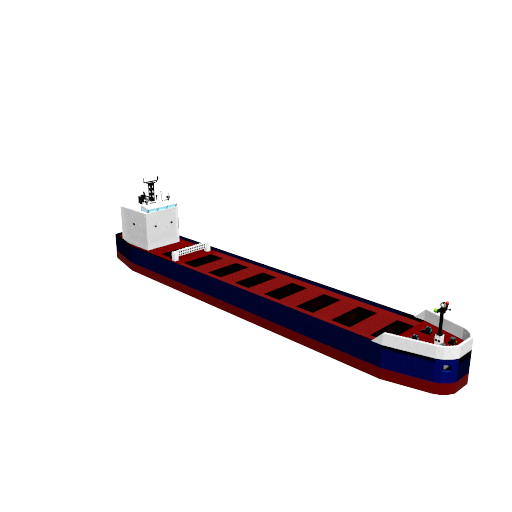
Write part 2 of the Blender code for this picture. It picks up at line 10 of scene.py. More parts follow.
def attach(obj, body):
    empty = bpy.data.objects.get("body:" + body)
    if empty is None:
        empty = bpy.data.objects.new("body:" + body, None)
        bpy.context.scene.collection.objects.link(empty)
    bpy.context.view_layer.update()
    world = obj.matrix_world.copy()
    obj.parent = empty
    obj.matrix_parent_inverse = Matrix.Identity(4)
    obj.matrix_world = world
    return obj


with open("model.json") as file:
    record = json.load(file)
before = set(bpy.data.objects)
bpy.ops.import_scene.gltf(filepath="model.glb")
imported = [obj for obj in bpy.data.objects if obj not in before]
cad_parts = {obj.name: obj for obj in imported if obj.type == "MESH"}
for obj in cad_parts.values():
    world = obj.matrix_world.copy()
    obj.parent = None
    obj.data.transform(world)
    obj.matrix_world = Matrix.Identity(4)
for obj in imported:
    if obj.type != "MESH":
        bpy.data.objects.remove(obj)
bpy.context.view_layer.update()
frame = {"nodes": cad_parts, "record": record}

# Lengths, places and levels are in studs of the brick grid, measured from midships, from the
# centreline and from the flat bottom. The few that are in metres say so.
STUD = 0.008                # pitch of the brick grid, in metres
STUD_RADIUS = 0.0024        # in metres, as the next two are
STUD_HEIGHT = 0.0017
STUD_EDGE = 0.00025         # rounding of a stud's rim
STUD_SIDES = 12
ROUND_SIDES = 14            # sides of a small round fitting
PLATE, BRICK = 0.4, 1.2     # heights
PLAY = 0.01875              # each solid of the part stops this far inside its place on the grid
DECK, RAIL_TOP, BLOCK_TOP = 10.8, 12.0, 28.0
ROOF_TOP = BLOCK_TOP + 7 * PLATE
BULWARK_TOP = RAIL_TOP + 10 * PLATE
LEG_TOP, BEAM_TOP = DECK + 4, DECK + 4.4
SIDES = (("starboard", -1), ("port", 1))

# half plans of the hull, each a station and half the width there
BOW = [(68, 13), (84, 9), (86, 8), (88, 6), (89, 4)]
STERN = [(-68, 13), (-88, 8), (-89, 6)]
BOW_END, STERN_END, HULL_HALF = 89, -89, 13
FORECASTLE = 68             # the forecastle's after edge
BLOCK_AFT, BLOCK_FRONT, BLOCK_HALF = -80, -60, 9
FIRST_HOLD, HOLD_LENGTH, HOLD_PITCH, HOLD_HALF = -52, 8, 16, 8
MAST_X, AFT_MAST_X = 80, -67.5
CRANE_X, CRANE_LEG_Y, GIRDER_STUDS = -40, 9, 16
WINCH_X, WINCH_Y, WINCH_LEVEL = 74, 4, 13.4
CAPSTAN_X, CAPSTAN_Y, CAPSTAN_FRONT = 83, 3, 84.05
SEARCHLIGHT_Y = 6
LAMP_LEVEL = 21.3           # of the small lamps on the block's walls
POCKET_X, POCKET_Y, POCKET_LEVEL = 87, 7, 8.925

# the top line of the bulwark that carries its studs, from the forecastle's edge to the stem
BULWARK_LINE = [(68, 12.5), (83.9, 8.53), (85.7, 7.62), (87.5, 5.78), (88.5, 3.85), (88.5, 0)]

# ground that carries no studs: from one X to another, and from one distance off the centreline
# to another
DECK_TAKEN = [(BLOCK_AFT, BLOCK_FRONT, 0, 9.5), (BLOCK_FRONT, FORECASTLE, HOLD_HALF, HULL_HALF)]
for hold_start in range(FIRST_HOLD, FORECASTLE, HOLD_PITCH):
    DECK_TAKEN.append((hold_start, hold_start + HOLD_LENGTH, 0, HOLD_HALF))
FORECASTLE_TAKEN = [
    (MAST_X - 1.2, MAST_X + 1.2, 0, 1.2),
    (WINCH_X - 3.5, WINCH_X + 1.4, WINCH_Y - 0.9, WINCH_Y + 0.9),
    (CAPSTAN_X - 1.3, CAPSTAN_X + 1.3, CAPSTAN_Y - 1.3, CAPSTAN_Y + 1.3),
]
ROOF_TAKEN = [(-65.2, BLOCK_FRONT, 0, 8.2), (-68.2, BLOCK_FRONT, 0, 5.2), (-77.2, -69, 0, 1.2)]

# seams and holes of the bricks
BRICK_LENGTH = 8
PLATE_WIDTH = 4
SEAM = 0.012                # width of a seam
PATTERN_SHIFT = 400         # whole bricks that keep the pattern's coordinates above zero
HOLE_RIM = 0.42             # radius of a pin hole with its rim
HOLE_PLACE = (0.5, 0.0)     # where a stud's pitch has its hole, along X and along Y
# rows of pin holes: the axis that they run along, their low level, their pitch upward and their ends
GIRDER_HOLES = (1, 12.8, BRICK, (-7.5, 7.5))
BASE_HOLES = (0, 12.5, 2.0, (MAST_X - 1, MAST_X + 1))

# where the looks change: a pair is the place where a change starts and the place where it is full
TOP_ROW = (10.2, 11.2)      # painted shade: the tapered sides turn dark, going up
STEM_SHADE = (9.1, 10.4)    # painted shade: the stem turns dark, going up
AFT_RAIL = -38              # painted shade: the rail's top is black abaft this
FORE_RAIL = (58, 61)        # painted shade: the rail turns black inboard, going forward
RED_ENDS = (-36, 68)        # the deck is a purer red abaft the first and ahead of the second
GLEAM_X = (5, 35)           # painted reflection: the holds gleam, going forward
GLEAM_Y = ((-0.5, 3.5), (7.9, 5.5))
GLEAM_Z = ((10.2, 8.4), (6.0, 7.4))
BLOCK_EDGE = (-75, -80)     # painted light: the block's sides turn lighter, going aft
FRONT_EDGE = (7, 8.3)       # painted light: its front turns white, going to port
BLOCK_FOOT = (14.5, 10.9)   # painted light: its walls turn lighter, going down
GREY_ROW = (19.1, 20.0)     # its grey dots lie between these
BULWARK_FOOT = (14.0, 12.0)     # painted light: the bulwark turns lighter on its inside, going down
MULLIONS, MULLION_HALF = (2.55, 7.75), 0.34
LAMP_FLANK = (MAST_X + 0.42, 0.3, 24.45)    # ahead of, to starboard of and above these
LIGHT_FOOT = (24.75, 24.2)  # painted shade: the side lights turn dark, going down

HIGHLIGHT_AHEAD, HIGHLIGHT_ASIDE = 0.75, 0.66       # the direction that the bow's facets look in, where the painted highlight is strongest
PAINTED_HIGHLIGHT_SPAN = (0.6, 1.0)          # the painted highlight starts and is full at these shares of it
UPWARD = 0.5                # a face looks up where its direction's Z is above this
SIDEWAYS = 0.5              # and it looks ahead or aside where its X or Y is
LIFT = 0.12                 # painted light: how much a bright white glows, in place of the light that white walls return
STUD_CREASE, FITTING_CREASE = 50, 45        # edges sharper than these, in degrees, stay sharp

# Colours

NAVY = (0.0003, 0.0014, 0.0215)
# painted highlight, on the bow's facets
NAVY_PAINTED_HIGHLIGHT = (0.0003, 0.0024, 0.12)
# painted light: the stem's own lit tone
NAVY_STEM_PAINTED_LIGHT = (0.0004, 0.0018, 0.024)
# painted shade, on navy faces that look up
NAVY_TOP_PAINTED_SHADE = (0.0004, 0.0016, 0.018)
# painted shade, along the top of the tapered sides
NAVY_SHADE = (0.0, 0.0, 0.002)
# painted glints where bricks end, which glow a little
NAVY_PAINTED_GLINT = (0.0, 0.012, 0.15)
RED = (0.225, 0.0058, 0.0052)
PURE_RED = (0.215, 0.0004, 0.0004)
# painted shade, on the deck's edges around the hatches
RED_SHADE = (0.001, 0.0001, 0.0001)
BOTTOM_RED = (0.145, 0.0008, 0.0003)
# painted shade, on the bottom's top inside the holds
BOTTOM_TOP_PAINTED_SHADE = (0.03, 0.002, 0.001)
# painted glints where bricks end
BOTTOM_PAINTED_GLINT = (0.4, 0.0, 0.0)
# painted shade: the holds' walls, nearly black
HOLD_PAINTED_SHADE = (0.0012, 0.0001, 0.0001)
# painted reflection, a faint red gleam in the holds
HOLD_GLEAM = (0.012, 0.0001, 0.0001)
WHITE = (0.85, 0.85, 0.85)
BRIGHT_WHITE = (0.96, 0.97, 0.97)
FULL_WHITE = (1.0, 1.0, 1.0)
# painted light, at the foot of the block's walls
PAINTED_FOOT_LIGHT = (0.95, 0.98, 0.98)
BLACK = (0.001, 0.001, 0.001)
# black of painted shade on the navy
PAINTED_SHADOW = (0.0, 0.0, 0.0)
# painted highlights, on the tops of black gear and capstans
GEAR_TOP_PAINTED_HIGHLIGHT = (0.004, 0.014, 0.014)
CAPSTAN_TOP_PAINTED_HIGHLIGHT = (0.07, 0.11, 0.11)
PANE = (0.62, 0.78, 0.82)
MULLION_BROWN = (0.16, 0.1, 0.09)
TAN = (0.35, 0.24, 0.165)
DAYLIGHT = (0.2, 0.55, 0.67)        # what shines through the windows


def grey(level):
    return (level, level, level)


def shade(colour, factor):
    return tuple(min(1, c * factor) for c in colour)


# Materials

def node_tree(name):
    material = bpy.data.materials.new(name)
    material.use_nodes = True
    tree = material.node_tree
    return material, tree, tree.nodes["Principled BSDF"]


def settings(node, values):
    """Sets a node's own inputs by their names."""
    for label, value in values.items():
        node.inputs[label].default_value = value


def feed(tree, slots, values):
    """Gives each input a socket to read or a plain value."""
    for slot, value in zip(slots, values):
        if isinstance(value, bpy.types.NodeSocket):
            tree.links.new(value, slot)
        else:
            slot.default_value = value


def number(tree, operation, first, second=0.0):
    """The result of a Math node."""
    node = tree.nodes.new("ShaderNodeMath")
    node.operation = operation
    feed(tree, node.inputs, (first, second))
    return node.outputs[0]


def above(tree, value, limit):
    return number(tree, "GREATER_THAN", value, limit)


def below(tree, value, limit):
    return number(tree, "LESS_THAN", value, limit)


def absolute(tree, value):
    return number(tree, "ABSOLUTE", value)


def vector(tree, x, y):
    join = tree.nodes.new("ShaderNodeCombineXYZ")
    feed(tree, join.inputs, (x, y, 0.0))
    return join.outputs[0]


def coordinates(tree, kind):
    place = tree.nodes.new("ShaderNodeTexCoord")
    split = tree.nodes.new("ShaderNodeSeparateXYZ")
    tree.links.new(place.outputs[kind], split.inputs[0])
    return [split.outputs[axis] for axis in "XYZ"]


def position(tree):
    """The object's own X, Y and Z in studs."""
    return [number(tree, "MULTIPLY", value, 1 / STUD) for value in coordinates(tree, "Object")]


def facing(tree):
    """The X, Y and Z of the direction that a face looks in, in the object's own axes."""
    return coordinates(tree, "Normal")


def fade(tree, value, start, finish):
    """0 at the start, 1 at the finish and clamped beyond them."""
    ramp = tree.nodes.new("ShaderNodeMapRange")
    settings(ramp, {"From Min": start, "From Max": finish})
    tree.links.new(value, ramp.inputs["Value"])
    return ramp.outputs[0]


def both(tree, *masks):
    """1 where every mask is 1."""
    result = masks[0]
    for mask in masks[1:]:
        result = number(tree, "MULTIPLY", result, mask)
    return result


def mixed(tree, share, first, second, blend="MIX"):
    """The second colour over the first by a share, each colour a socket or three numbers."""
    mix = tree.nodes.new("ShaderNodeMix")
    mix.data_type = "RGBA"
    mix.blend_type = blend
    colours = [(*colour, 1) if isinstance(colour, tuple) else colour for colour in (first, second)]
    feed(tree, (mix.inputs[0], mix.inputs[6], mix.inputs[7]), (share, *colours))
    return mix.outputs[2]


def bumped(tree, height, strength, under=None, invert=False):
    """A fine bump of 0.1 mm, over what lies under it."""
    bump = tree.nodes.new("ShaderNodeBump")
    bump.invert = invert
    settings(bump, {"Strength": strength, "Distance": 0.0001})
    tree.links.new(height, bump.inputs["Height"])
    if under is not None:
        tree.links.new(under, bump.inputs["Normal"])
    return bump.outputs[0]


def recolour(material, mask, colour):
    """Mixes a colour over the base colour of a material where the mask is 1."""
    tree = material.node_tree
    base = tree.nodes["Principled BSDF"].inputs["Base Color"]
    tree.links.new(mixed(tree, mask, base.links[0].from_socket, colour), base)


def up_faces(material, colour):
    """Recolours the faces that look up, with painted light or shade."""
    tree = material.node_tree
    recolour(material, above(tree, facing(tree)[2], UPWARD), colour)
    return material


def dim(material, mask):
    """Lets a material glow by the lift of bright white, as painted light, except where the mask is 1."""
    tree = material.node_tree
    glow = number(tree, "MULTIPLY", number(tree, "SUBTRACT", 1.0, mask), LIFT)
    tree.links.new(glow, tree.nodes["Principled BSDF"].inputs["Emission Strength"])
    return material


def plastic(name, colour, roughness=0.35, specular=0.25, metallic=0.0, grain=0.05, coat=0.0, lift=0.0):
    """Moulded plastic: a tint and gloss that vary a little, and a fine mould texture."""
    material, tree, shader = node_tree(name)
    # lift is a glow of painted light
    settings(shader, {
        "Metallic": metallic, "Specular IOR Level": specular, "Coat Weight": coat, "Coat Roughness": 0.12,
        "Emission Color": (*colour, 1), "Emission Strength": lift,
    })
    place = tree.nodes.new("ShaderNodeTexCoord").outputs["Object"]
    cloud = tree.nodes.new("ShaderNodeTexNoise")
    settings(cloud, {"Scale": 35, "Detail": 3})
    tree.links.new(place, cloud.inputs["Vector"])
    share = cloud.outputs["Fac"]
    tint = mixed(tree, share, shade(colour, 1 - grain), shade(colour, 1 + grain))
    tree.links.new(tint, shader.inputs["Base Color"])

    gloss = tree.nodes.new("ShaderNodeMapRange")
    settings(gloss, {"To Min": max(0.02, roughness - 0.06), "To Max": roughness + 0.06})
    tree.links.new(share, gloss.inputs["Value"])
    tree.links.new(gloss.outputs[0], shader.inputs["Roughness"])

    skin = tree.nodes.new("ShaderNodeTexNoise")
    settings(skin, {"Scale": 1800})
    tree.links.new(place, skin.inputs["Vector"])
    tree.links.new(bumped(tree, skin.outputs["Fac"], 0.06), shader.inputs["Normal"])
    return material


def bricks(material, length, height, sideways=True, first=0.0, seam=0.97):
    """Fine seams between the bricks of a wall, or between the plates of a deck."""
    tree = material.node_tree
    shader = tree.nodes["Principled BSDF"]
    x, y, z = position(tree)
    along, across = (number(tree, "ADD", x, y), z) if sideways else (x, y)
    wall = tree.nodes.new("ShaderNodeTexBrick")
    settings(wall, {
        "Scale": 1, "Brick Width": length, "Row Height": height, "Mortar Size": SEAM, "Mortar Smooth": 0.2,
        "Color1": (*grey(0.985), 1), "Color2": (*FULL_WHITE, 1), "Mortar": (*grey(seam), 1),
    })
    shifted = vector(tree, number(tree, "ADD", along, PATTERN_SHIFT * length),
                     number(tree, "ADD", across, PATTERN_SHIFT * height - first))
    tree.links.new(shifted, wall.inputs["Vector"])
    base = shader.inputs["Base Color"]
    tree.links.new(mixed(tree, 1, base.links[0].from_socket, wall.outputs["Color"], "MULTIPLY"), base)
    skin = shader.inputs["Normal"]
    groove = bumped(tree, wall.outputs["Fac"], 0.3, skin.links[0].from_socket, invert=True)
    tree.links.new(groove, skin)
    return material


def brick_ends(material, colour, length, height, share, width=0.16, tall=0.5, glow=0.0, within=None):
    """Short upright marks where the ends of a share of a wall's bricks meet, there within a mask."""
    tree = material.node_tree
    x, y, z = position(tree)
    level = number(tree, "DIVIDE", z, height)
    row = number(tree, "FLOOR", level)
    half_brick = number(tree, "MULTIPLY", number(tree, "MODULO", row, 2.0), 0.5)
    cell = number(tree, "ADD", number(tree, "DIVIDE", number(tree, "ADD", x, y), length), half_brick)
    chance = tree.nodes.new("ShaderNodeTexWhiteNoise")
    chance.noise_dimensions = "2D"
    tree.links.new(vector(tree, number(tree, "FLOOR", cell), row), chance.inputs["Vector"])
    mask = both(tree, below(tree, number(tree, "FRACT", cell), width / length),
                below(tree, number(tree, "FRACT", level), tall),
                below(tree, chance.outputs["Value"], share))
    if within is not None:
        mask = both(tree, mask, within)
    recolour(material, mask, colour)
    if glow:
        shader = tree.nodes["Principled BSDF"]
        settings(shader, {"Emission Color": (*colour, 1)})
        tree.links.new(number(tree, "MULTIPLY", mask, glow), shader.inputs["Emission Strength"])
    return material


def painted_shade_holes(material, across, low, pitch, ends):
    """Darkens round pin holes and their rims with painted shade: one to a stud across, in two rows from a
    low level up.
    """
    tree = material.node_tree
    where = position(tree)
    off_across = number(tree, "SUBTRACT", number(tree, "FRACT", where[across]), HOLE_PLACE[across])
    row = number(tree, "DIVIDE", number(tree, "SUBTRACT", where[2], low), pitch)
    off_middle = number(tree, "SUBTRACT", number(tree, "FRACT", row), 0.5)
    off_up = number(tree, "MULTIPLY", off_middle, pitch)
    away = number(tree, "ADD", number(tree, "POWER", off_across, 2.0), number(tree, "POWER", off_up, 2.0))
    mask = both(tree, below(tree, away, HOLE_RIM ** 2),
                above(tree, where[across], ends[0]), below(tree, where[across], ends[1]),
                above(tree, row, 0.0), below(tree, row, 2.0))
    # painted shade: the holes are black and do not glow
    recolour(material, mask, BLACK)
    return dim(material, mask)


def navy_plastic():
    """Navy bricks with painted light and shade: a painted highlight on the bow's facets, a lit tone on the
    stem, glowing painted glints where bricks end, and painted shade on faces that look up, along the top of
    both ends, on the rail's top aft and on its inboard faces just aft of the forecastle.
    """
    made = plastic("navy_bricks", NAVY, roughness=0.4, specular=0.0)
    tree = made.node_tree
    x, y, z = position(tree)
    ahead, aside, up = facing(tree)
    aside = absolute(tree, aside)
    toward = number(tree, "ADD", number(tree, "MULTIPLY", ahead, HIGHLIGHT_AHEAD),
                    number(tree, "MULTIPLY", aside, HIGHLIGHT_ASIDE))
    # painted highlight: brighter blue on faces that look ahead and aside, as the bow's facets do
    recolour(made, fade(tree, toward, *PAINTED_HIGHLIGHT_SPAN), NAVY_PAINTED_HIGHLIGHT)
    stem = above(tree, ahead, 0.95)
    # painted light: the stem gets its own lit tone, a little lighter than plain navy and without the
    # highlight
    recolour(made, stem, NAVY_STEM_PAINTED_LIGHT)
    bricks(made, BRICK_LENGTH, BRICK)
    # painted glints: light blue glowing marks where some bricks end
    brick_ends(made, NAVY_PAINTED_GLINT, BRICK_LENGTH, BRICK, 0.3, glow=0.1)
    # painted shade: the stem's face turns black toward its top
    recolour(made, both(tree, stem, fade(tree, z, *STEM_SHADE)), PAINTED_SHADOW)
    # painted shade: the tapered sides go nearly black along their top row
    tapered = both(tree, above(tree, aside, 0.9), above(tree, absolute(tree, ahead), 0.1))
    recolour(made, both(tree, tapered, fade(tree, z, *TOP_ROW)), NAVY_SHADE)
    # painted shade: navy faces that look up are darker
    up_faces(made, NAVY_TOP_PAINTED_SHADE)
    # painted shade: the rail's top is black abaft the crane
    recolour(made, both(tree, below(tree, x, AFT_RAIL), above(tree, up, UPWARD)), PAINTED_SHADOW)
    # painted shade: the rail's inboard faces turn black just aft of the forecastle
    inboard = both(tree, below(tree, absolute(tree, y), HULL_HALF - 0.6), below(tree, x, FORECASTLE))
    recolour(made, both(tree, fade(tree, x, *FORE_RAIL), inboard), PAINTED_SHADOW)
    return made


def red_plastic(name, plain_sides=False):
    """Red, and a purer red at both ends of the deck; upright faces may be without the grain."""
    made = plastic(name, RED, roughness=0.45, specular=0.0)
    tree = made.node_tree
    x = position(tree)[0]
    ends = number(tree, "ADD", below(tree, x, RED_ENDS[0]), above(tree, x, RED_ENDS[1]))
    recolour(made, ends, PURE_RED)
    if plain_sides:
        upright = below(tree, facing(tree)[2], UPWARD)
        recolour(made, upright, RED)
        recolour(made, both(tree, upright, ends), PURE_RED)
    return made


def deck_plates():
    """Red plates with seams, with painted shade, near black, on their edges around the open hatches."""
    made = red_plastic("red_plates")
    tree = made.node_tree
    # painted shade: the deck's upright edges around the hatches are near black
    edges = both(tree, below(tree, facing(tree)[2], UPWARD), below(tree, position(tree)[2], DECK + 0.05))
    recolour(made, edges, RED_SHADE)
    return bricks(made, BRICK_LENGTH, PLATE_WIDTH, False, seam=0.9)


def bottom_bricks():
    """The red below the navy, with painted glints on its sides and painted shade on its top."""
    made = plastic("red_bottom_bricks", BOTTOM_RED, roughness=0.45, specular=0.02)
    bricks(made, BRICK_LENGTH, BRICK, first=PLATE)
    # painted glints: lighter red marks where some bricks end
    brick_ends(made, BOTTOM_PAINTED_GLINT, BRICK_LENGTH, BRICK, 0.2)
    # painted shade: the faces that look up, the floors of the holds, are nearly black
    return up_faces(made, BOTTOM_TOP_PAINTED_SHADE)


def hold_plastic():
    """Nearly black as painted shade, with a faint painted red gleam of reflected light low on the after
    walls of the forward holds.
    """
    # painted shade: the walls of the holds are nearly black
    made = plastic("hold_painted_shade", HOLD_PAINTED_SHADE, roughness=0.8, specular=0.0)
    tree = made.node_tree
    x, y, z = position(tree)
    after_wall = above(tree, facing(tree)[0], SIDEWAYS)
    # painted reflection: a faint red gleam low on the after walls of the forward holds
    limits = [(x, GLEAM_X), (y, GLEAM_Y[0]), (y, GLEAM_Y[1]), (z, GLEAM_Z[0]), (z, GLEAM_Z[1])]
    gleam = both(tree, after_wall, *[fade(tree, value, *limit) for value, limit in limits])
    recolour(made, gleam, HOLD_GLEAM)
    return bricks(made, BRICK_LENGTH, BRICK)


def block_walls():
    """White walls with faint seams and painted light dots, with painted shade on their sides and painted
    light at the foot and at two of their edges.
    """
    made = plastic("white_block_bricks", WHITE, specular=0.1, grain=0.01)
    tree = made.node_tree
    x, y, z = position(tree)
    ahead, aside = facing(tree)[:2]
    side = above(tree, absolute(tree, aside), SIDEWAYS)
    front = above(tree, absolute(tree, ahead), SIDEWAYS)
    # painted shade: the side walls are greyer than the front
    recolour(made, side, grey(0.77))
    # painted light: the sides lighten toward their after edge, the front toward its port edge, and all
    # walls at their foot
    recolour(made, both(tree, side, fade(tree, x, *BLOCK_EDGE)), grey(0.92))
    recolour(made, both(tree, front, fade(tree, y, *FRONT_EDGE)), FULL_WHITE)
    recolour(made, fade(tree, z, *BLOCK_FOOT), PAINTED_FOOT_LIGHT)
    bricks(made, BRICK_LENGTH, BRICK)
    one_row = both(tree, above(tree, z, GREY_ROW[0]), below(tree, z, GREY_ROW[1]))
    brick_ends(made, grey(0.42), 2, 2 * BRICK, 0.5, width=0.36, tall=0.17, within=one_row)
    # painted highlights: white marks where some bricks end, which glow
    return brick_ends(made, FULL_WHITE, 4, 2 * BRICK, 0.4, width=0.36, tall=0.2, glow=0.25)


def bulwark_bricks():
    """White walls with faint seams and a slight painted glow, painted lighter inside and darker on inner
    faces that look aft, and a few dots where brick corners meet: grey outside, painted highlights inside.
    """
    # a slight glow of painted light
    made = plastic("white_bulwark_bricks", grey(0.79), specular=0.1, grain=0.01, lift=0.07)
    tree = made.node_tree
    x, y, z = position(tree)
    ahead, aside = facing(tree)[:2]
    from_middle = number(tree, "SUBTRACT", x, MAST_X)
    outward = number(tree, "ADD", number(tree, "MULTIPLY", from_middle, ahead),
                     number(tree, "MULTIPLY", y, aside))
    inner = below(tree, outward, -0.5)
    # painted light: the inside is lighter, more so toward its foot
    recolour(made, inner, grey(0.82))
    recolour(made, both(tree, inner, fade(tree, z, *BULWARK_FOOT)), grey(0.94))
    # painted shade: inner faces that look aft are darker
    recolour(made, both(tree, inner, below(tree, ahead, -0.3)), grey(0.62))
    bricks(made, BRICK_LENGTH, BRICK)
    brick_ends(made, grey(0.55), 4, 2 * BRICK, 0.4, width=0.3, tall=0.15)
    # painted highlights: light marks where some bricks end, on the inside
    return brick_ends(made, FULL_WHITE, 4, 2 * BRICK, 0.6, width=0.3, tall=0.2, within=inner)


def window_frame():
    """Brown at the mullions, and as clear as the glass between them, and glowing a little all over as
    painted light.
    """
    # a glow of painted light
    made = plastic("brown_mullions", PANE, specular=0.25, lift=0.2)
    tree = made.node_tree
    y = absolute(tree, position(tree)[1])
    for mullion in MULLIONS:
        off = absolute(tree, number(tree, "SUBTRACT", y, mullion))
        recolour(made, below(tree, off, MULLION_HALF), MULLION_BROWN)
    return made


def lamp_housing():
    """Black, with a tan flank ahead of the lamp's face."""
    made = plastic("black_lamp", BLACK, specular=0.05)
    tree = made.node_tree
    x, y, z = position(tree)
    ahead_of, short_of, over = LAMP_FLANK
    flank = both(tree, above(tree, x, ahead_of), below(tree, y, short_of), above(tree, z, over))
    recolour(made, flank, TAN)
    return made


def crane_leg():
    """White on a red foot plate."""
    made = bright_plastic("white_crane_legs")
    tree = made.node_tree
    foot = below(tree, position(tree)[2], DECK + PLATE)
    recolour(made, foot, PURE_RED)
    return dim(made, foot)


def see_through(name, colour, lit, strength=1.0, roughness=0.1):
    """Clear tinted plastic, which glows a little with the light behind it."""
    made = plastic(name, colour, roughness=roughness, specular=0.3, grain=0.12, coat=0.1)
    shader = made.node_tree.nodes["Principled BSDF"]
    settings(shader, {"Emission Color": (*lit, 1), "Emission Strength": strength})
    return made


def side_light(name, colour, lit):
    """A side light's clear plastic, with painted shade in its foot."""
    made = see_through(name, colour, lit, 0.1, 0.15)
    tree = made.node_tree
    # painted shade: darker toward the foot
    recolour(made, fade(tree, position(tree)[2], *LIGHT_FOOT), shade(colour, 0.25))
    return made


def bright_plastic(name):
    # bright white glows a little, as painted light
    return plastic(name, BRIGHT_WHITE, grain=0.01, lift=LIFT)


red_stud = red_plastic("red_studs", plain_sides=True)
white_wall = plastic("white_house_walls", WHITE, grain=0.01)
white_deck = bricks(bright_plastic("white_plates"), BRICK_LENGTH, PLATE_WIDTH, False)
white = bright_plastic("white_plastic")
# painted shade: the crane's white studs are grey
shaded_crane_stud = plastic("white_crane_studs_painted_shade", grey(0.72), grain=0.01)
crane_white = painted_shade_holes(bright_plastic("white_crane_bricks"), *GIRDER_HOLES)
base_white = painted_shade_holes(bright_plastic("white_mast_base"), *BASE_HOLES)
leg_white = crane_leg()
pale = plastic("pale_aerial", grey(0.62), grain=0.03)
black = plastic("black_plastic", BLACK, specular=0.03)
# painted highlights on the tops of the black winch gear and capstans
black_gear = up_faces(plastic("black_gear", BLACK, specular=0.05), GEAR_TOP_PAINTED_HIGHLIGHT)
capstan_black = up_faces(plastic("black_capstan", BLACK, specular=0.05), CAPSTAN_TOP_PAINTED_HIGHLIGHT)
beige = plastic("beige_frame", (0.82, 0.73, 0.71), specular=0.1)
glass = see_through("window_glass", (0.3, 0.85, 1.0), DAYLIGHT)
# painted shade: the side windows get a darker copy of the window glass
shaded_side_glass = see_through("side_window_glass", (0.26, 0.18, 0.19), DAYLIGHT)
silver = plastic("pearl_silver", (0.42, 0.42, 0.38), roughness=0.35, metallic=0.6)
gold = plastic("smoked_lens", (0.14, 0.07, 0.035), roughness=0.2, specular=0.5, coat=0.6)
green = side_light("clear_green", (0.22, 0.9, 0.0), (0.2, 0.9, 0.0))
signal = side_light("clear_red", (0.95, 0.01, 0.005), (0.95, 0.0, 0.0))
cyan = plastic("cyan_pins", (0.05, 0.36, 0.52), specular=0.2)
brown = plastic("brown_pins", (0.22, 0.12, 0.0), specular=0.1)
# painted light: navy as lit from above, for the floor of the anchor pockets
blue = plastic("pocket_floor_painted_light", (0.0, 0.02, 0.35), specular=0.3)
yellow = plastic("yellow_pins", (0.62, 0.48, 0.0), specular=0.3)
bar_grey = plastic("grey_bar", grey(0.2), specular=0.3)

SLOTS = {
    "navy": navy_plastic(), "red": deck_plates(), "bottom_red": bottom_bricks(), "white": white_wall,
    "black": black, "hold": hold_plastic(), "brown": beige, "glass": glass, "silver": silver, "gold": gold,
    "green": green, "signal_red": signal,
}
OWN = {
    "block_walls": block_walls(), "bulwark": bulwark_bricks(), "block_deck": white_deck,
    "wheelhouse_roof": white, "top_house": white, "windscreen_frame": window_frame(),
    "bow_lamp": lamp_housing(), "bow_lamp_face": white, "bow_mast_base": base_white, "bow_mast": black_gear,
    "loop_antenna": pale, "crane_beam": crane_white,
}
for side, _ in SIDES:
    OWN["side_window_" + side] = shaded_side_glass
    OWN["crane_leg_" + side] = leg_white
    OWN["winch_bed_" + side] = black_gear
    OWN["winch_drum_" + side] = black_gear
    OWN["capstan_drum_" + side] = capstan_black
for part in frame["record"]["subparts"]:
    node = frame["nodes"][part["node"]]
    node.data.materials.clear()
    node.data.materials.append(OWN.get(part["node"], SLOTS[part["material_slot"]]))


# Studs

def add(name, mesh, crease, material, body):
    """Puts a piece into the scene, smooth up to a crease in degrees, and lets it ride on a body."""
    mesh.shade_smooth()
    mesh.set_sharp_from_angle(angle=radians(crease))
    mesh.materials.append(material)
    piece = bpy.data.objects.new(name, mesh)
    bpy.context.scene.collection.objects.link(piece)
    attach(piece, body)
    return piece


def circle(radius, steps):
    """Points around a circle, in order."""
    turns = [2 * pi * k / steps for k in range(steps)]
    return [(radius * cos(turn), radius * sin(turn)) for turn in turns]


def studs(name, places, top, material, body="ship"):
    """One mesh of studs, each a round boss with a rounded rim, at places on a surface."""
    rings = [(STUD_RADIUS, 0), (STUD_RADIUS, STUD_HEIGHT - STUD_EDGE)]
    rings.append((STUD_RADIUS - STUD_EDGE, STUD_HEIGHT))
    level = (top - PLAY) * STUD
    points, faces = [], []
    for x, y in places:
        start = len(points)
        for radius, height in rings:
            points += [(x * STUD + a, y * STUD + b, level + height) for a, b in circle(radius, STUD_SIDES)]
        for ring in range(len(rings) - 1):
            low = start + ring * STUD_SIDES
            high = low + STUD_SIDES
            for k in range(STUD_SIDES):
                onward = (k + 1) % STUD_SIDES
                faces.append((low + k, low + onward, high + onward, high + k))
        last = start + (len(rings) - 1) * STUD_SIDES
        faces.append(tuple(range(last, last + STUD_SIDES)))
        faces.append(tuple(reversed(range(start, start + STUD_SIDES))))
    mesh = bpy.data.meshes.new(name)
    mesh.from_pydata(points, [], faces)
    return add(name, mesh, STUD_CREASE, material, body)


def half_width(x):
    """Half the hull's width at a station."""
    line = sorted(STERN) + BOW
    for (ax, ay), (bx, by) in zip(line, line[1:]):
        if ax <= x <= bx:
            return ay + (by - ay) * (x - ax) / (bx - ax)
    return 0


def clear(x, y, taken):
    """Whether a place lies outside all the ground that is taken."""
    return not any(aft < x < fore and near < abs(y) < far for aft, fore, near, far in taken)


def grid(aft, fore, taken):
    """Centres of the grid's squares that lie inside the rail and are clear."""
    places, rail, margin = [], 1, 0.4
    for i in range(aft, fore):
        x = i + 0.5
        reach = min(half_width(i), half_width(i + 1)) - rail
        for j in range(-HULL_HALF, HULL_HALF):
            y = j + 0.5
            if abs(y) + margin <= reach and clear(x, y, taken):
                places.append((x, y))
    return places


def on_roof():
    """Centres of the squares on the block's top that are clear."""
    places = []
    for i in range(BLOCK_AFT, BLOCK_FRONT):
        for j in range(-BLOCK_HALF, BLOCK_HALF):
            if clear(i + 0.5, j + 0.5, ROOF_TAKEN):
                places.append((i + 0.5, j + 0.5))
    return places


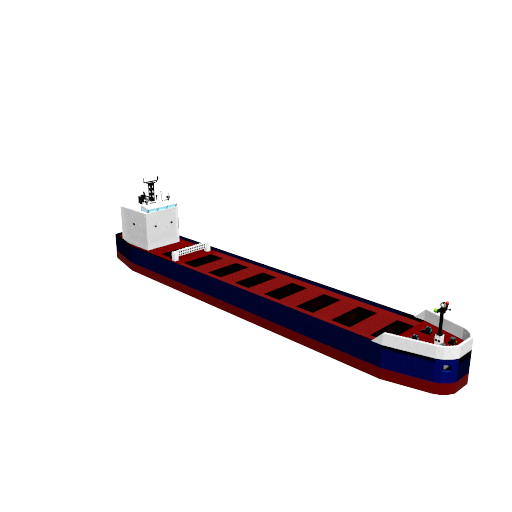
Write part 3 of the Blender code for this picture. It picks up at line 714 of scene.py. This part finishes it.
def along_bulwark():
    """Places one stud apart along the bulwark's top line, on both sides and none on the centreline."""
    places = []
    for side in (-1, 1):
        carry = 0.5
        for (ax, ay), (bx, by) in zip(BULWARK_LINE, BULWARK_LINE[1:]):
            run = ((bx - ax) ** 2 + (by - ay) ** 2) ** 0.5
            at = carry
            while at <= run:
                x, y = ax + (bx - ax) * at / run, ay + (by - ay) * at / run
                if y > 0.3:
                    places.append((x, side * y))
                at += 1
            carry = at - run
    return places


def on_legs():
    """Places of the four studs on each of the crane's legs."""
    places = []
    for side in (-1, 1):
        for a in (-0.5, 0.5):
            for b in (-0.5, 0.5):
                places.append((CRANE_X + a, side * CRANE_LEG_Y + b))
    return places


girder = [(CRANE_X, k + 0.5 - GIRDER_STUDS / 2) for k in range(GIRDER_STUDS)]
studs("deck_studs", grid(STERN_END, FORECASTLE, DECK_TAKEN), DECK, red_stud)
studs("forecastle_studs", grid(FORECASTLE, BOW_END, FORECASTLE_TAKEN), RAIL_TOP, red_stud)
studs("block_studs", on_roof(), BLOCK_TOP, white)
studs("bulwark_studs", along_bulwark(), BULWARK_TOP, white)
studs("crane_studs", on_legs(), LEG_TOP, shaded_crane_stud, "hatch_crane")
studs("girder_studs", girder, BEAM_TOP, shaded_crane_stud, "hatch_crane")


# Small fittings

UPRIGHT = (0, 0, 0)
ALONG_X, ALONG_Y = (0, pi / 2, 0), (pi / 2, 0, 0)


def joined(name, parts, material, body="ship"):
    """One piece out of small solids with rounded edges, each (kind, place, size, turn) in studs.

    A block's size is its three sides, and a round's is its radius and its length.
    """
    bm = bmesh.new()
    for kind, place, size, turn in parts:
        at = Matrix.Translation(Vector(place) * STUD) @ Euler(turn).to_matrix().to_4x4()
        if kind == "block":
            at = at @ Matrix.Diagonal((*(Vector(size) * STUD), 1))
            made = bmesh.ops.create_cube(bm, size=1, matrix=at)["verts"]
            width = 0.12 * min(size) * STUD
        else:
            radius, length = size
            made = bmesh.ops.create_cone(bm, cap_ends=True, segments=ROUND_SIDES, radius1=radius * STUD,
                                         radius2=radius * STUD, depth=length * STUD, matrix=at)["verts"]
            width = 0.1 * min(radius, length) * STUD
        edges = {edge for vert in made for edge in vert.link_edges}
        bmesh.ops.bevel(bm, geom=list(edges), offset=width, segments=2, affect="EDGES", clamp_overlap=True)
    mesh = bpy.data.meshes.new(name)
    bm.to_mesh(mesh)
    bm.free()
    return add(name, mesh, FITTING_CREASE, material, body)


def winch_pins(sign):
    """Six pegs around a winch's wheel, the one that faces forward the widest."""
    pins, ring = [], 0.96
    for k in range(6):
        turn = pi / 3 * k
        wide = 0.6 if k == 0 else 0.32
        place = (WINCH_X + ring * cos(turn), sign * WINCH_Y, WINCH_LEVEL + ring * sin(turn))
        pins.append(("block", place, (0.26, 0.4, wide), (0, -turn, 0)))
    return pins


def pocket_part(sign, depth, aft, rise, size):
    """A block of a pocket's lining: how far out, aft of and above the pocket's centre it sits."""
    place = (POCKET_X + (depth - aft) * cos(pi / 4), sign * (POCKET_Y + (depth + aft) * cos(pi / 4)),
             POCKET_LEVEL + rise)
    return ("block", place, size, (0, 0, sign * pi / 4))


for side, sign in SIDES:
    peg = ("round", (CAPSTAN_FRONT, sign * 3.35, 12.95), (0.17, 0.2), ALONG_X)
    pin = ("round", (CAPSTAN_FRONT, sign * 2.22, 12.85), (0.17, 0.2), ALONG_X)
    aerial = ("round", (-62.9, sign * SEARCHLIGHT_Y, ROOF_TOP + 2.9), (0.11, 1.9), UPRIGHT)
    joined("winch_pins_" + side, winch_pins(sign), cyan, "winch_drum_" + side)
    joined("capstan_peg_" + side, [peg], yellow)
    joined("capstan_pin_" + side, [pin], brown)
    joined("searchlight_aerial_" + side, [aerial], black, "searchlight_" + side)

# small lamps on the block's walls, a cover on one of them, and a pipe
wall_lamps = [("block", (-59.8, y, LAMP_LEVEL), (0.4, 0.95, 0.8), UPRIGHT) for y in (-4.1, 4.8)]
wall_lamps += [("block", (-69.45, sign * 9.2, LAMP_LEVEL), (1.0, 0.4, 0.8), UPRIGHT) for sign in (-1, 1)]
lamp_cover = ("block", (-59.7, -4.0, LAMP_LEVEL + 0.3), (0.5, 0.5, 0.4), UPRIGHT)
joined("wall_lamps", wall_lamps, black)
joined("wall_lamp_cover", [lamp_cover], yellow)
joined("wall_pipe", [("round", (-59.85, 8.8, 20.2), (0.13, 5.4), UPRIGHT)], bar_grey)

# hand bars on the wheelhouse roof, each with a foot at both ends
bars = []
for x, low, high in ((-63.1, -4.2, -1.1), (-63.4, 2.8, 6.3)):
    bars.append(("round", (x, (low + high) / 2, ROOF_TOP + 0.45), (0.2, high - low), ALONG_Y))
    for end in (low + 0.2, high - 0.2):
        bars.append(("round", (x, end, ROOF_TOP + 0.2), (0.2, 0.44), UPRIGHT))
joined("roof_bars", bars, bar_grey)

# two thin whips on the after mast's head, and a small lamp under the port end of its yard
whips = [("round", (AFT_MAST_X, y, 40.9), (0.06, 2.6), UPRIGHT) for y in (-0.9, 0.95)]
yard_fittings = [("round", (AFT_MAST_X, 3.1, 39.35), (0.25, 0.7), UPRIGHT),
                 ("round", (AFT_MAST_X, 3.85, 40.95), (0.42, 1.3), UPRIGHT)]
joined("mast_whips", whips, pale)
joined("yard_fittings", yard_fittings, black)

# in each anchor's pocket, a black sheet of painted shade at its back, clear of the anchor's stem, and a
# strip of painted light along its floor
for side, sign in SIDES:
    # painted shade: black sheets at the back of the pocket
    back = [pocket_part(sign, -0.66, 0, -0.28, (0.04, 2.56, 1.44)),
            pocket_part(sign, -0.66, -0.49, 0.72, (0.04, 1.58, 0.5))]
    # painted light: a thin blue strip along the pocket's floor
    floor_strip = [pocket_part(sign, -0.32, 0, -0.975, (0.6, 2.5, 0.05))]
    joined("pocket_painted_shade_" + side, back, black)
    joined("pocket_floor_" + side, floor_strip, blue)


# Floor, light and camera

def backdrop():
    """A round pale floor that turns up far away, so that no horizon shows. Its sizes are in metres."""
    steps, bends, flat = 64, 12, 6
    profile = [(2, 0), (flat, 0)]
    for k in range(1, bends + 1):
        turn = pi / 2 * k / bends
        profile.append((flat + flat * sin(turn), flat - flat * cos(turn)))
    points, faces = [], []
    for radius, height in profile:
        points += [(a, b, height) for a, b in circle(radius, steps)]
    points.append((0, 0, 0))
    for k in range(steps):
        faces.append((len(points) - 1, k, (k + 1) % steps))
    for ring in range(len(profile) - 1):
        inner = ring * steps
        outer = inner + steps
        for k in range(steps):
            onward = (k + 1) % steps
            faces.append((inner + k, outer + k, outer + onward, inner + onward))
    mesh = bpy.data.meshes.new("floor")
    mesh.from_pydata(points, [], faces)
    mesh.shade_smooth()
    made = bpy.data.objects.new("floor", mesh)
    made.location.z = -0.0002
    made.visible_diffuse = False
    made.visible_glossy = False
    bpy.context.scene.collection.objects.link(made)
    return made


floor = backdrop()
paper, _, paper_shader = node_tree("pale_floor")
settings(paper_shader, {
    "Base Color": (*grey(0.3), 1), "Emission Color": (*FULL_WHITE, 1), "Emission Strength": 0.95,
    "Roughness": 0.9, "Specular IOR Level": 0.0,
})
floor.data.materials.append(paper)

world = bpy.data.worlds.new("studio")
world.use_nodes = True
settings(world.node_tree.nodes["Background"], {"Color": (*FULL_WHITE, 1), "Strength": 0.19})
bpy.context.scene.world = world


def lamp(name, direction, strength, softness, shadow):
    """A sun that shines from a direction, its disc as wide as the softness in degrees."""
    light = bpy.data.lights.new(name, "SUN")
    light.energy = strength
    light.angle = radians(softness)
    light.use_shadow = shadow
    made = bpy.data.objects.new(name, light)
    made.rotation_euler = Vector(direction).to_track_quat("Z", "Y").to_euler()
    bpy.context.scene.collection.objects.link(made)


OVER_THE_BOW = (0.70, -0.455, 1.0)
FROM_ASTERN = (-0.70, 0.5, 0.0)
lamp("key", OVER_THE_BOW, 1.2, 50, True)
lamp("fill", OVER_THE_BOW, 2.8, 50, False)
lamp("rear", FROM_ASTERN, 1.6, 10, False)

CAMERA_AT = Vector((1.2894, -1.2895, 0.8119))       # in metres, as the point that it looks at
CAMERA_AIM = Vector((0, 0, 0.1672))
camera = bpy.data.cameras.new("camera")
camera.angle = radians(45)
camera.clip_end = 100
view = bpy.data.objects.new("camera", camera)
view.location = CAMERA_AT
view.rotation_euler = (CAMERA_AIM - CAMERA_AT).to_track_quat("-Z", "Y").to_euler()
bpy.context.scene.collection.objects.link(view)
bpy.context.scene.camera = view
bpy.context.scene.view_settings.view_transform = "Standard"
bpy.context.scene.cycles.diffuse_bounces = 0
bpy.context.scene.cycles.pixel_filter_type = "BOX"
